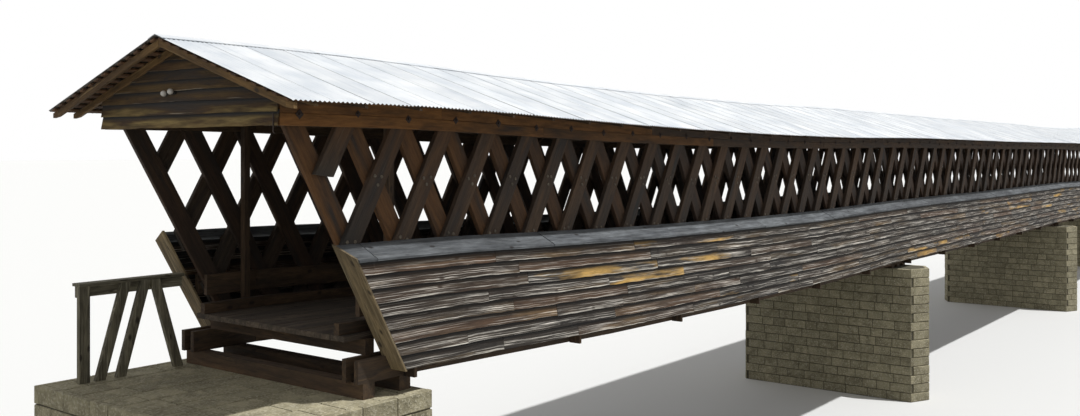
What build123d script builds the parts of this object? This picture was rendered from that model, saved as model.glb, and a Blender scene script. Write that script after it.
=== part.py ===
"""A covered timber bridge of three spans on plank lattice trusses, as a 1:2 model, all sizes in mm."""

import os
from math import hypot
from typing import NamedTuple

from build123d import *

os.makedirs("parts", exist_ok=True)

# The lattice: crossings along the chords, counted as stations from 0 at the first portal.
PANEL = 457
LAST = 68
ROW = 405
PLANK_WIDE = 142.5
LAYER = 37.5
CHORD_DEEP = 150
CHORD_JOINT = 3
PLANK_SHORT = 2.5
TRUSS_OUT = 955

# Where the long timbers begin, in stations or as a length outside station 0.
TOP_CHORD_OUT = 124
BOTTOM_START = 1.05
MIDDLE_START = 1.3

# How far the old bridge has sunk at its piers and between them; it is level over every support.
SEAT_END = 2.25
PIER_STATION = 23
PIER_SEAT = 1.25
PIER_SUNK = 95
FIRST_SPAN_SUNK = ((5, 68), (10, 106), (15, 118))
MIDDLE_BEND = 9
MIDDLE_SUNK = 105

# Masonry and the timbers that the trusses rest on.
BLOCK_TOP = 1830
PIER_THICK = 625
PIER_OUT = 425
PIER_NOSE = 150
ABUTMENT_SIDE = 145
ABUTMENT_START = -1.2
ABUTMENT_END = 2.2
BED_WIDE = 100
BED_DEEP = 100
PIER_BED_DEEP = 35
BED_SPACING = 220
ABUTMENT_BEDS = (1.25, 1.95)

# Floor.
BEAM_WIDE = 75
BEAM_DEEP = 100
BEAM_CLEAR = 2.5
DECK_CLEAR = 5
DECK_THICK = 37.5
DECK_START = 1.1
GUARD_WIDE = 50
GUARD_DEEP = 75
GUARD_CLEAR = 5

# Boarding of the lower half, its studs and its sloping cap.
CAP_LOW = 803
CAP_RUN = 180
CAP_DROP = 90
CAP_THICK = 17
CAP_START = 0.65
SIDING_GAP = 100
SIDING_THICK = 25
SIDING_BELOW = 5
STUD_WIDE = 25
STUD_TIP = 75
STUD_STATIONS = (1.95, 6, 9.5, 13, 16.5, 20, 23.5, 27, 30.5, 34)
END_BOARD_START = 0.4
END_BOARD_PROUD = 12

# Roof framing, from the ridge down; thicknesses of sloping pieces are measured plumb.
RIDGE_UP = 500
ROOF_PITCH = 1 / 3
EAVE_OUT = 365
ROOF_OUT = 335
SHEET = 10
NAILER = 13
NAILER_WIDE = 50
NAILER_FIRST = 20
NAILER_LAST = 70
NAILER_GAPS = 4
RAFTER = 74
RAFTER_WIDE = 25
RAFTER_TAIL = 15
TAIL_FROM = 20
GABLE_RAFTER = 47
RAFTER_CUT = 15
RIDGE_GAP = 1.5
RIDGE_CAP_HALF = 75
RIDGE_CAP_THICK = 5
TIE_WIDE = 75
TIE_DEEP = 75
TIE_SPACING = 4
KNEE_LEG = 150
KNEE_DEEP = 50
KNEE_WIDE = 37.5
POST_WIDE = 50
POST_STATION = 2

# Gable boards and the twin lamp on them.
GABLE_THICK = 12
LAMP_Y = 125
LAMP_UP = 152
LAMP_SPREAD = 45
LAMP_PLATE = (60, 24, 12)
LAMP_SOCKET = 12
LAMP_SOCKET_OUT = 8
LAMP_BULB = 20
LAMP_BULB_OUT = 34

# Railing beside the approach, on the far side of the bridge.
RAIL_START = -0.75
RAIL_END = 1
RAIL_UP = 500
RAIL_CAP_WIDE = 95
RAIL_CAP_THICK = 20
RAIL_IN = 70
RAIL_POST = 35
RAIL_POST_WIDE = 75
RAIL_BOARD_THICK = 25
RAIL_BOARD_DEEP = 75
RAIL_BRACE_WIDE = 70
RAIL_BRACE_RUN = 190
RAIL_BRACES = ((-1.05, -1), (-0.72, -1), (-0.56, 1))

# Heights that follow.
CHORD_LOW = BLOCK_TOP + BED_DEEP
PIER_TOP = CHORD_LOW - PIER_SUNK - PIER_BED_DEEP
ROW_4 = CHORD_LOW + CHORD_DEEP / 2
ROW_3 = ROW_4 + ROW
ROW_0 = ROW_4 + 4 * ROW
CHORD_TOP = ROW_0 + CHORD_DEEP / 2
FLOOR_LOW = ROW_4 + CHORD_DEEP / 2
DECK_LOW = FLOOR_LOW + BEAM_DEEP
DECK_TOP = DECK_LOW + DECK_THICK
RIDGE = ROW_0 + RIDGE_UP
CAP_TOP = ROW_0 - CAP_LOW
RAIL_TOP = ROW_4 + RAIL_UP
SIDING_LOW = ROW_4 - SIDING_BELOW

# Widths that follow, each from the middle line to a face of the truss.
LATTICE_OUT = TRUSS_OUT - LAYER
LATTICE_MID = LATTICE_OUT - LAYER
LATTICE_IN = LATTICE_MID - LAYER
TRUSS_IN = LATTICE_IN - LAYER
SIDING_IN = TRUSS_OUT + SIDING_GAP
SIDING_OUT = SIDING_IN + SIDING_THICK
CAP_SLOPE = CAP_DROP / CAP_RUN
PIER_HALF = TRUSS_OUT + PIER_OUT
ABUTMENT_HALF = TRUSS_OUT + ABUTMENT_SIDE
DECK_HALF = TRUSS_IN - DECK_CLEAR
GUARD_OUT = TRUSS_IN - POST_WIDE - GUARD_CLEAR
ROOF_HALF = TRUSS_OUT + EAVE_OUT
RAFTER_HALF = ROOF_HALF - RAFTER_CUT
TAIL = TRUSS_OUT + TAIL_FROM
NAILER_STEP = (RAFTER_HALF - NAILER_LAST - NAILER_FIRST) / NAILER_GAPS
RAIL_INNER = TRUSS_OUT - RAIL_IN

# Half of a plank's level width in stations, and the first and last row that it covers.
PLANK_HALF = PLANK_WIDE / 2 * hypot(PANEL / 2, ROW) / ROW / PANEL
ROW_HIGH = -(CHORD_DEEP / 2 - PLANK_SHORT) / ROW
ROW_BELOW = 4 + (CHORD_DEEP / 2 - PLANK_SHORT) / ROW


def x_at(station):
    """the place of a station along the bridge"""
    return (station - LAST / 2) * PANEL


def sag_line():
    """every station where the line of the bridge bends, and its fall there"""
    bends = [
        (SEAT_END, 0),
        *((SEAT_END + past, -sunk) for past, sunk in FIRST_SPAN_SUNK),
        (PIER_STATION - PIER_SEAT, -PIER_SUNK),
        (PIER_STATION + PIER_SEAT, -PIER_SUNK),
        (PIER_STATION + PIER_SEAT + MIDDLE_BEND, -MIDDLE_SUNK),
    ]
    return sorted([*bends, *((LAST - station, drop) for station, drop in bends)])


SAG_LINE = sag_line()


def fall(station):
    """how far the bridge has sunk at a station, as a negative height"""
    for (low, low_fall), (high, high_fall) in zip(SAG_LINE, SAG_LINE[1:]):
        if low <= station <= high:
            return low_fall + (high_fall - low_fall) * (station - low) / (high - low)
    return 0


class Run(NamedTuple):
    """straight members of one stretch: the planes where they start, with the fall there"""

    starts: list
    length: float
    direction: tuple


def run_of(starts, wide):
    """members of that level length, which start at those stations of one straight stretch"""
    step = wide / PANEL
    rise = fall(starts[0] + step) - fall(starts[0])
    places = [(x_at(station), fall(station)) for station in starts]
    return Run(places, hypot(wide, rise), (wide, 0, rise))


def long_runs(start, end):
    """a long member as straight timbers, butted with a small joint at every bend"""
    half = CHORD_JOINT / 2 / PANEL
    inner = [station for station, _ in SAG_LINE if start < station < end]
    cuts = [start - half, *inner, end + half]
    return [
        run_of([low + half], (high - low - 2 * half) * PANEL)
        for low, high in zip(cuts, cuts[1:])
    ]


def cross_runs(stations, wide):
    """cross members centred on those stations, gathered by the straight stretch they stand on"""
    half = wide / 2 / PANEL
    edges = [-LAST, *(station for station, _ in SAG_LINE), 2 * LAST]
    found = []
    for low, high in zip(edges, edges[1:]):
        starts = [station - half for station in stations if low < station < high]
        if starts:
            found.append(run_of(starts, wide))
    return found


def roof(y, down=0):
    """the height of the roof's slope at that distance from the middle line"""
    return RIDGE - abs(y) * ROOF_PITCH - down


def under_cap(y):
    """the height of the cap's underside"""
    return CAP_TOP - (y - LATTICE_OUT) * CAP_SLOPE - CAP_THICK


def plank_corner(top, lean, edge, row):
    """a point on a lattice plank's edge"""
    station = top + edge + lean * row / 2
    return (x_at(station), ROW_0 - row * ROW + fall(station))


def plank(top, lean):
    """the outline of the plank that crosses the top chord at that station"""
    near_end = top if lean < 0 else LAST - top
    corners = []
    for edge in (-PLANK_HALF, PLANK_HALF):
        low = min(ROW_BELOW, near_end - lean * edge + PLANK_HALF)
        pair = [
            plank_corner(top, lean, edge, ROW_HIGH),
            plank_corner(top, lean, edge, low),
        ]
        corners += pair if edge < 0 else pair[::-1]
    return corners


def end_line(depth):
    """the station of the sloping end board's outer edge, that deep below the top chord"""
    return END_BOARD_START + (depth - CAP_LOW) / (2 * ROW)


TOP_START = -TOP_CHORD_OUT / PANEL
TIE_STATIONS = [0, *range(POST_STATION, LAST, TIE_SPACING), LAST]
RAFTER_STATIONS = [station + 0.5 for station in range(LAST)]
BEAM_STATIONS = [station + 0.5 for station in range(1, LAST - 1)]
STUDS = sorted({*STUD_STATIONS, *(LAST - station for station in STUD_STATIONS)})
KNEE_STATIONS = TIE_STATIONS[2:-2]
GABLE_PLANES = (x_at(TOP_START) - GABLE_THICK, -x_at(TOP_START))
ROOF_START = TOP_START - (ROOF_OUT - TOP_CHORD_OUT) / PANEL
ROOF_RUNS = long_runs(ROOF_START, LAST - ROOF_START)


# Stone piers with a pointed nose at each side, and the blocks of stone under the portals.
with BuildPart() as piers:
    with BuildSketch():
        with Locations((x_at(PIER_STATION), 0), (-x_at(PIER_STATION), 0)):
            Polygon(
                (-PIER_THICK / 2, PIER_NOSE - PIER_HALF),
                (0, -PIER_HALF),
                (PIER_THICK / 2, PIER_NOSE - PIER_HALF),
                (PIER_THICK / 2, PIER_HALF - PIER_NOSE),
                (0, PIER_HALF),
                (-PIER_THICK / 2, PIER_HALF - PIER_NOSE),
                align=None,
            )
    extrude(amount=PIER_TOP)
piers.part.label = "piers"
export_step(piers.part, "parts/piers.step")

with BuildPart() as abutments:
    with BuildSketch():
        middle = (ABUTMENT_START + ABUTMENT_END) / 2
        with Locations((x_at(middle), 0), (-x_at(middle), 0)):
            Rectangle((ABUTMENT_END - ABUTMENT_START) * PANEL, 2 * ABUTMENT_HALF)
    extrude(amount=BLOCK_TOP)
abutments.part.label = "abutments"
export_step(abutments.part, "parts/abutments.step")

with BuildPart() as bed_timbers:
    with BuildSketch(Plane.XY.offset(BLOCK_TOP)):
        for station in ABUTMENT_BEDS:
            with Locations((x_at(station), 0), (-x_at(station), 0)):
                Rectangle(BED_WIDE, 2 * TRUSS_OUT)
    extrude(amount=BED_DEEP)
    with BuildSketch(Plane.XY.offset(PIER_TOP)):
        with Locations((x_at(PIER_STATION), 0), (-x_at(PIER_STATION), 0)):
            with GridLocations(BED_SPACING, 1, 3, 1):
                Rectangle(BED_WIDE, 2 * TRUSS_OUT)
    extrude(amount=PIER_BED_DEEP)
bed_timbers.part.label = "bed_timbers"
export_step(bed_timbers.part, "parts/bed_timbers.step")


# The chords: an outer and an inner timber that clamp the two layers of the lattice.
with BuildPart() as upper_chords_outer:
    for run in long_runs(TOP_START, LAST - TOP_START):
        x, drop = run.starts[0]
        with BuildSketch(Plane.YZ.offset(x)):
            with Locations((0, ROW_0 + drop)):
                with GridLocations(2 * TRUSS_OUT - LAYER, 1, 2, 1):
                    Rectangle(LAYER, CHORD_DEEP)
        extrude(amount=run.length, dir=run.direction)
upper_chords_outer.part.label = "upper_chords_outer"
export_step(upper_chords_outer.part, "parts/upper_chords_outer.step")

with BuildPart() as upper_chords_inner:
    for run in long_runs(TOP_START, LAST - TOP_START):
        x, drop = run.starts[0]
        with BuildSketch(Plane.YZ.offset(x)):
            with Locations((0, ROW_0 + drop)):
                with GridLocations(2 * TRUSS_IN + LAYER, 1, 2, 1):
                    Rectangle(LAYER, CHORD_DEEP)
        extrude(amount=run.length, dir=run.direction)
upper_chords_inner.part.label = "upper_chords_inner"
export_step(upper_chords_inner.part, "parts/upper_chords_inner.step")

with BuildPart() as lower_chords_outer:
    for start, height in ((BOTTOM_START, ROW_4), (MIDDLE_START, ROW_3)):
        for run in long_runs(start, LAST - start):
            x, drop = run.starts[0]
            with BuildSketch(Plane.YZ.offset(x)):
                with Locations((0, height + drop)):
                    with GridLocations(2 * TRUSS_OUT - LAYER, 1, 2, 1):
                        Rectangle(LAYER, CHORD_DEEP)
            extrude(amount=run.length, dir=run.direction)
lower_chords_outer.part.label = "lower_chords_outer"
export_step(lower_chords_outer.part, "parts/lower_chords_outer.step")

with BuildPart() as lower_chords_inner:
    for start, height in ((BOTTOM_START, ROW_4), (MIDDLE_START, ROW_3)):
        for run in long_runs(start, LAST - start):
            x, drop = run.starts[0]
            with BuildSketch(Plane.YZ.offset(x)):
                with Locations((0, height + drop)):
                    with GridLocations(2 * TRUSS_IN + LAYER, 1, 2, 1):
                        Rectangle(LAYER, CHORD_DEEP)
            extrude(amount=run.length, dir=run.direction)
lower_chords_inner.part.label = "lower_chords_inner"
export_step(lower_chords_inner.part, "parts/lower_chords_inner.step")


# The lattice: planks of one lean in each layer, the short ones cut at the end plank.
with BuildPart() as lattice_outer:
    with BuildSketch(Plane.XZ.offset(LATTICE_MID)):
        for top in range(1, LAST + 1):
            Polygon(*plank(top, -1), align=None)
    extrude(amount=LAYER)
    mirror(about=Plane.XZ)
lattice_outer.part.label = "lattice_outer"
export_step(lattice_outer.part, "parts/lattice_outer.step")

with BuildPart() as lattice_inner:
    with BuildSketch(Plane.XZ.offset(LATTICE_IN)):
        for top in range(LAST):
            Polygon(*plank(top, 1), align=None)
    extrude(amount=LAYER)
    mirror(about=Plane.XZ)
lattice_inner.part.label = "lattice_inner"
export_step(lattice_inner.part, "parts/lattice_inner.step")


# The floor.
with BuildPart() as floor_beams:
    for run in cross_runs(BEAM_STATIONS, BEAM_WIDE):
        for x, drop in run.starts:
            with BuildSketch(Plane.YZ.offset(x)):
                with Locations((0, FLOOR_LOW + BEAM_DEEP / 2 + drop)):
                    Rectangle(2 * (LATTICE_IN - BEAM_CLEAR), BEAM_DEEP)
        extrude(amount=run.length, dir=run.direction)
floor_beams.part.label = "floor_beams"
export_step(floor_beams.part, "parts/floor_beams.step")

with BuildPart() as deck:
    for run in long_runs(DECK_START, LAST - DECK_START):
        x, drop = run.starts[0]
        with BuildSketch(Plane.YZ.offset(x)):
            with Locations((0, DECK_LOW + DECK_THICK / 2 + drop)):
                Rectangle(2 * DECK_HALF, DECK_THICK)
        extrude(amount=run.length, dir=run.direction)
deck.part.label = "deck"
export_step(deck.part, "parts/deck.step")

with BuildPart() as wheel_guards:
    for run in long_runs(DECK_START, LAST - DECK_START):
        x, drop = run.starts[0]
        with BuildSketch(Plane.YZ.offset(x)):
            with Locations((0, DECK_TOP + GUARD_DEEP / 2 + drop)):
                with GridLocations(2 * GUARD_OUT - GUARD_WIDE, 1, 2, 1):
                    Rectangle(GUARD_WIDE, GUARD_DEEP)
        extrude(amount=run.length, dir=run.direction)
wheel_guards.part.label = "wheel_guards"
export_step(wheel_guards.part, "parts/wheel_guards.step")


# The boarded lower half: studs on the truss, siding on them, a sloping cap over both.
with BuildPart() as siding_studs:
    for run in cross_runs(STUDS, STUD_WIDE):
        for x, drop in run.starts:
            with BuildSketch(Plane.YZ.offset(x)):
                with Locations((0, drop)):
                    Polygon(
                        (TRUSS_OUT, SIDING_LOW - STUD_TIP),
                        (SIDING_IN, SIDING_LOW - STUD_TIP),
                        (SIDING_IN, under_cap(SIDING_IN)),
                        (TRUSS_OUT, under_cap(TRUSS_OUT)),
                        align=None,
                    )
        extrude(amount=run.length, dir=run.direction)
    mirror(about=Plane.XZ)
siding_studs.part.label = "siding_studs"
export_step(siding_studs.part, "parts/siding_studs.step")

with BuildPart() as siding:
    for run in long_runs(SEAT_END, LAST - SEAT_END):
        x, drop = run.starts[0]
        with BuildSketch(Plane.YZ.offset(x)):
            with Locations((0, drop)):
                Polygon(
                    (SIDING_IN, SIDING_LOW),
                    (SIDING_OUT, SIDING_LOW),
                    (SIDING_OUT, under_cap(SIDING_OUT)),
                    (SIDING_IN, under_cap(SIDING_IN)),
                    align=None,
                )
        extrude(amount=run.length, dir=run.direction)
    with BuildSketch(Plane.XZ.offset(SIDING_IN)):
        depth = ROW_0 - under_cap(SIDING_OUT)
        low = end_line(ROW_0 - SIDING_LOW) + 2 * PLANK_HALF
        high = end_line(depth) + 2 * PLANK_HALF
        butt = SEAT_END - CHORD_JOINT / PANEL
        for side in (-1, 1):
            Polygon(
                (side * x_at(low), SIDING_LOW),
                (side * x_at(butt), SIDING_LOW),
                (side * x_at(butt), ROW_0 - depth),
                (side * x_at(high), ROW_0 - depth),
                align=None,
            )
    extrude(amount=SIDING_THICK)
    mirror(about=Plane.XZ)
siding.part.label = "siding"
export_step(siding.part, "parts/siding.step")

with BuildPart() as end_boards:
    with BuildSketch(Plane.XZ.offset(SIDING_IN)):
        depth = ROW_0 - under_cap(SIDING_OUT + END_BOARD_PROUD)
        for side in (-1, 1):
            Polygon(
                (side * x_at(end_line(ROW_0 - SIDING_LOW)), SIDING_LOW),
                (side * x_at(end_line(ROW_0 - SIDING_LOW) + 2 * PLANK_HALF), SIDING_LOW),
                (side * x_at(end_line(depth) + 2 * PLANK_HALF), ROW_0 - depth),
                (side * x_at(end_line(depth)), ROW_0 - depth),
                align=None,
            )
    extrude(amount=SIDING_THICK + END_BOARD_PROUD)
    mirror(about=Plane.XZ)
end_boards.part.label = "end_boards"
export_step(end_boards.part, "parts/end_boards.step")

with BuildPart() as cap_boards:
    for run in long_runs(CAP_START, LAST - CAP_START):
        x, drop = run.starts[0]
        with BuildSketch(Plane.YZ.offset(x)):
            with Locations((0, drop)):
                Polygon(
                    (LATTICE_OUT, CAP_TOP - CAP_THICK),
                    (LATTICE_OUT + CAP_RUN, CAP_TOP - CAP_THICK - CAP_DROP),
                    (LATTICE_OUT + CAP_RUN, CAP_TOP - CAP_DROP),
                    (LATTICE_OUT, CAP_TOP),
                    align=None,
                )
        extrude(amount=run.length, dir=run.direction)
    mirror(about=Plane.XZ)
cap_boards.part.label = "cap_boards"
export_step(cap_boards.part, "parts/cap_boards.step")


# Timbers across and on the top of the trusses.
with BuildPart() as tie_beams:
    for run in cross_runs(TIE_STATIONS, TIE_WIDE):
        for x, drop in run.starts:
            with BuildSketch(Plane.YZ.offset(x)):
                with Locations((0, CHORD_TOP + TIE_DEEP / 2 + drop)):
                    Rectangle(2 * LATTICE_IN, TIE_DEEP)
        extrude(amount=run.length, dir=run.direction)
tie_beams.part.label = "tie_beams"
export_step(tie_beams.part, "parts/tie_beams.step")

with BuildPart() as portal_posts:
    for run in cross_runs((POST_STATION, LAST - POST_STATION), POST_WIDE):
        for x, drop in run.starts:
            with BuildSketch(Plane.YZ.offset(x)):
                with Locations((0, (DECK_TOP + CHORD_TOP) / 2 + drop)):
                    with GridLocations(2 * TRUSS_IN - POST_WIDE, 1, 2, 1):
                        Rectangle(POST_WIDE, CHORD_TOP - DECK_TOP)
        extrude(amount=run.length, dir=run.direction)
portal_posts.part.label = "portal_posts"
export_step(portal_posts.part, "parts/portal_posts.step")

with BuildPart() as knee_braces:
    for run in cross_runs(KNEE_STATIONS, KNEE_WIDE):
        for x, drop in run.starts:
            with BuildSketch(Plane.YZ.offset(x)):
                with Locations((0, CHORD_TOP + drop)):
                    Polygon(
                        (TRUSS_IN, -KNEE_LEG),
                        (TRUSS_IN, KNEE_DEEP - KNEE_LEG),
                        (TRUSS_IN - KNEE_LEG + KNEE_DEEP, 0),
                        (TRUSS_IN - KNEE_LEG, 0),
                        align=None,
                    )
        extrude(amount=run.length, dir=run.direction)
    mirror(about=Plane.XZ)
knee_braces.part.label = "knee_braces"
export_step(knee_braces.part, "parts/knee_braces.step")

with BuildPart() as eave_plates:
    for run in long_runs(TOP_START, LAST - TOP_START):
        x, drop = run.starts[0]
        with BuildSketch(Plane.YZ.offset(x)):
            with Locations((0, drop)):
                Polygon(
                    (LATTICE_IN, CHORD_TOP),
                    (TRUSS_OUT, CHORD_TOP),
                    (TRUSS_OUT, roof(TRUSS_OUT, SHEET + NAILER + RAFTER)),
                    (LATTICE_IN, roof(LATTICE_IN, SHEET + NAILER + RAFTER)),
                    align=None,
                )
        extrude(amount=run.length, dir=run.direction)
    mirror(about=Plane.XZ)
eave_plates.part.label = "eave_plates"
export_step(eave_plates.part, "parts/eave_plates.step")


# The roof: rafters, boards along them, sheets on the boards and a cap along the ridge.
with BuildPart() as rafters:
    for run in cross_runs(RAFTER_STATIONS, RAFTER_WIDE):
        for x, drop in run.starts:
            with BuildSketch(Plane.YZ.offset(x)):
                with Locations((0, drop)):
                    Polygon(
                        (RIDGE_GAP, roof(RIDGE_GAP, SHEET + NAILER + RAFTER)),
                        (TAIL, roof(TAIL, SHEET + NAILER + RAFTER)),
                        (RAFTER_HALF, roof(RAFTER_HALF, SHEET + NAILER + RAFTER_TAIL)),
                        (RAFTER_HALF, roof(RAFTER_HALF, SHEET + NAILER)),
                        (RIDGE_GAP, roof(RIDGE_GAP, SHEET + NAILER)),
                        align=None,
                    )
        extrude(amount=run.length, dir=run.direction)
    mirror(about=Plane.XZ)
rafters.part.label = "rafters"
export_step(rafters.part, "parts/rafters.step")

with BuildPart() as gable_rafters:
    starts = [x_at(ROOF_START), GABLE_PLANES[0] - RAFTER_WIDE]
    for x in (*starts, *(-start - RAFTER_WIDE for start in starts)):
        with BuildSketch(Plane.YZ.offset(x)):
            Polygon(
                (RIDGE_GAP, roof(RIDGE_GAP, SHEET + NAILER + GABLE_RAFTER)),
                (RAFTER_HALF, roof(RAFTER_HALF, SHEET + NAILER + GABLE_RAFTER)),
                (RAFTER_HALF, roof(RAFTER_HALF, SHEET + NAILER)),
                (RIDGE_GAP, roof(RIDGE_GAP, SHEET + NAILER)),
                align=None,
            )
    extrude(amount=RAFTER_WIDE)
    mirror(about=Plane.XZ)
gable_rafters.part.label = "gable_rafters"
export_step(gable_rafters.part, "parts/gable_rafters.step")

with BuildPart() as roof_nailers:
    for run in ROOF_RUNS:
        x, drop = run.starts[0]
        with BuildSketch(Plane.YZ.offset(x)):
            with Locations((0, drop)):
                for row in range(NAILER_GAPS + 1):
                    inner = NAILER_FIRST + row * NAILER_STEP
                    outer = inner + NAILER_WIDE
                    Polygon(
                        (inner, roof(inner, SHEET + NAILER)),
                        (outer, roof(outer, SHEET + NAILER)),
                        (outer, roof(outer, SHEET)),
                        (inner, roof(inner, SHEET)),
                        align=None,
                    )
        extrude(amount=run.length, dir=run.direction)
    mirror(about=Plane.XZ)
roof_nailers.part.label = "roof_nailers"
export_step(roof_nailers.part, "parts/roof_nailers.step")

with BuildPart() as roof_sheets:
    for run in ROOF_RUNS:
        x, drop = run.starts[0]
        with BuildSketch(Plane.YZ.offset(x)):
            with Locations((0, drop)):
                Polygon(
                    (RIDGE_GAP, roof(RIDGE_GAP, SHEET)),
                    (ROOF_HALF, roof(ROOF_HALF, SHEET)),
                    (ROOF_HALF, roof(ROOF_HALF)),
                    (RIDGE_GAP, roof(RIDGE_GAP)),
                    align=None,
                )
        extrude(amount=run.length, dir=run.direction)
    mirror(about=Plane.XZ)
roof_sheets.part.label = "roof_sheets"
export_step(roof_sheets.part, "parts/roof_sheets.step")

with BuildPart() as ridge_cap:
    for run in ROOF_RUNS:
        x, drop = run.starts[0]
        with BuildSketch(Plane.YZ.offset(x)):
            with Locations((0, drop)):
                Polygon(
                    (-RIDGE_CAP_HALF, roof(RIDGE_CAP_HALF)),
                    (0, RIDGE),
                    (RIDGE_CAP_HALF, roof(RIDGE_CAP_HALF)),
                    (RIDGE_CAP_HALF, roof(RIDGE_CAP_HALF, -RIDGE_CAP_THICK)),
                    (0, RIDGE + RIDGE_CAP_THICK),
                    (-RIDGE_CAP_HALF, roof(RIDGE_CAP_HALF, -RIDGE_CAP_THICK)),
                    align=None,
                )
        extrude(amount=run.length, dir=run.direction)
ridge_cap.part.label = "ridge_cap"
export_step(ridge_cap.part, "parts/ridge_cap.step")


# The boarded gables and the twin lamp on each.
with BuildPart() as gable_walls:
    for x in GABLE_PLANES:
        with BuildSketch(Plane.YZ.offset(x)):
            Polygon(
                (-TRUSS_OUT, ROW_0 - CHORD_DEEP / 2),
                (TRUSS_OUT, ROW_0 - CHORD_DEEP / 2),
                (TRUSS_OUT, roof(TRUSS_OUT, SHEET + NAILER)),
                (0, roof(0, SHEET + NAILER)),
                (-TRUSS_OUT, roof(TRUSS_OUT, SHEET + NAILER)),
                align=None,
            )
    extrude(amount=GABLE_THICK)
gable_walls.part.label = "gable_walls"
export_step(gable_walls.part, "parts/gable_walls.step")

with BuildPart() as lamp_sockets:
    plate_wide, plate_high, plate_thick = LAMP_PLATE
    with BuildSketch(Plane.YZ.offset(GABLE_PLANES[0])):
        with Locations((LAMP_Y, ROW_0 + LAMP_UP)):
            Rectangle(2 * plate_wide, plate_high)
    extrude(amount=-plate_thick)
    with BuildSketch(Plane.YZ.offset(GABLE_PLANES[0] - plate_thick)):
        with Locations((LAMP_Y, ROW_0 + LAMP_UP)):
            with GridLocations(2 * LAMP_SPREAD, 1, 2, 1):
                Circle(LAMP_SOCKET)
    extrude(amount=-LAMP_SOCKET_OUT)
    mirror(about=Plane.YZ)
lamp_sockets.part.label = "lamp_sockets"
export_step(lamp_sockets.part, "parts/lamp_sockets.step")

with BuildPart() as lamp_bulbs:
    with BuildSketch(Plane.YZ.offset(GABLE_PLANES[0] - LAMP_PLATE[2] - LAMP_SOCKET_OUT)):
        with Locations((LAMP_Y, ROW_0 + LAMP_UP)):
            with GridLocations(2 * LAMP_SPREAD, 1, 2, 1):
                Circle(LAMP_BULB)
    extrude(amount=-LAMP_BULB_OUT)
    mirror(about=Plane.YZ)
lamp_bulbs.part.label = "lamp_bulbs"
export_step(lamp_bulbs.part, "parts/lamp_bulbs.step")


# The railing beside each approach: cap and side board on a post and sloping planks.
with BuildPart() as railing_caps:
    with BuildSketch(Plane.XY.offset(RAIL_TOP - RAIL_CAP_THICK)):
        for side in (-1, 1):
            with Locations((side * x_at((RAIL_START + RAIL_END) / 2), RAIL_INNER + RAIL_CAP_WIDE / 2)):
                Rectangle((RAIL_END - RAIL_START) * PANEL, RAIL_CAP_WIDE)
    extrude(amount=RAIL_CAP_THICK)
railing_caps.part.label = "railing_caps"
export_step(railing_caps.part, "parts/railing_caps.step")

with BuildPart() as railing_boards:
    with BuildSketch(Plane.XZ.offset(-RAIL_INNER - RAIL_POST)):
        for side in (-1, 1):
            with Locations(
                (
                    side * x_at((RAIL_START + RAIL_END) / 2),
                    RAIL_TOP - RAIL_CAP_THICK - RAIL_BOARD_DEEP / 2,
                )
            ):
                Rectangle((RAIL_END - RAIL_START) * PANEL, RAIL_BOARD_DEEP)
    extrude(amount=-RAIL_BOARD_THICK)
railing_boards.part.label = "railing_boards"
export_step(railing_boards.part, "parts/railing_boards.step")

with BuildPart() as railing_posts:
    with BuildSketch(Plane.XZ.offset(-RAIL_INNER)):
        high = RAIL_TOP - RAIL_CAP_THICK
        for side in (-1, 1):
            post = side * (x_at(RAIL_START) + RAIL_POST_WIDE / 2)
            with Locations((post, (BLOCK_TOP + high) / 2)):
                Rectangle(RAIL_POST_WIDE, high - BLOCK_TOP)
            for station, lean in RAIL_BRACES:
                head = x_at(BOTTOM_START + station)
                foot = head + lean * RAIL_BRACE_RUN
                Polygon(
                    (side * (head - RAIL_BRACE_WIDE / 2), high),
                    (side * (head + RAIL_BRACE_WIDE / 2), high),
                    (side * (foot + RAIL_BRACE_WIDE / 2), BLOCK_TOP),
                    (side * (foot - RAIL_BRACE_WIDE / 2), BLOCK_TOP),
                    align=None,
                )
    extrude(amount=-RAIL_POST)
railing_posts.part.label = "railing_posts"
export_step(railing_posts.part, "parts/railing_posts.step")
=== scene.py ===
"""The boards, roofing, stone and finishes of the covered bridge, with its light and camera, in metres."""

import random
from math import ceil, cos, hypot, pi, radians, sin

import bmesh
import bpy
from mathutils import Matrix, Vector


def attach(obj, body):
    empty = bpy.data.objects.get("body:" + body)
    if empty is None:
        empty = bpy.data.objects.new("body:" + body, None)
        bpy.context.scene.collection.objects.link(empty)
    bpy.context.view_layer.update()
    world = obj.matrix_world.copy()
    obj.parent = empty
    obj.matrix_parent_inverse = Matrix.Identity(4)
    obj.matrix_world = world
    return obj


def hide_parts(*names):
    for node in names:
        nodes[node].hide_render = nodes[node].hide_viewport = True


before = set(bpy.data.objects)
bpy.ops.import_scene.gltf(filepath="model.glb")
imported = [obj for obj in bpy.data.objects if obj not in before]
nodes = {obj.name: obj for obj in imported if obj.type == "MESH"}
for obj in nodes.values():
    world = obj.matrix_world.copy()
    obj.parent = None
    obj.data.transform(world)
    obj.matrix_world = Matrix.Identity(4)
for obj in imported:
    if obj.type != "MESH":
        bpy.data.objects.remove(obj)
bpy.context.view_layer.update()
scene = bpy.context.scene

# The bridge's own sizes, the same as the frame's. Crossings of the lattice are counted in stations along
# the bridge, from LAST / 2 before its middle, and in rows down from the top chord.
PANEL = 0.457
LAST = 68
ROW = 0.405
PLANK_WIDE = 0.1425
LAYER = 0.0375
CHORD_DEEP = 0.15
TRUSS_OUT = 0.955
ROW_0 = 3.625
LATTICE_OUT = TRUSS_OUT - LAYER
LATTICE_MID = LATTICE_OUT - LAYER
LATTICE_IN = LATTICE_MID - LAYER
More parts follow.
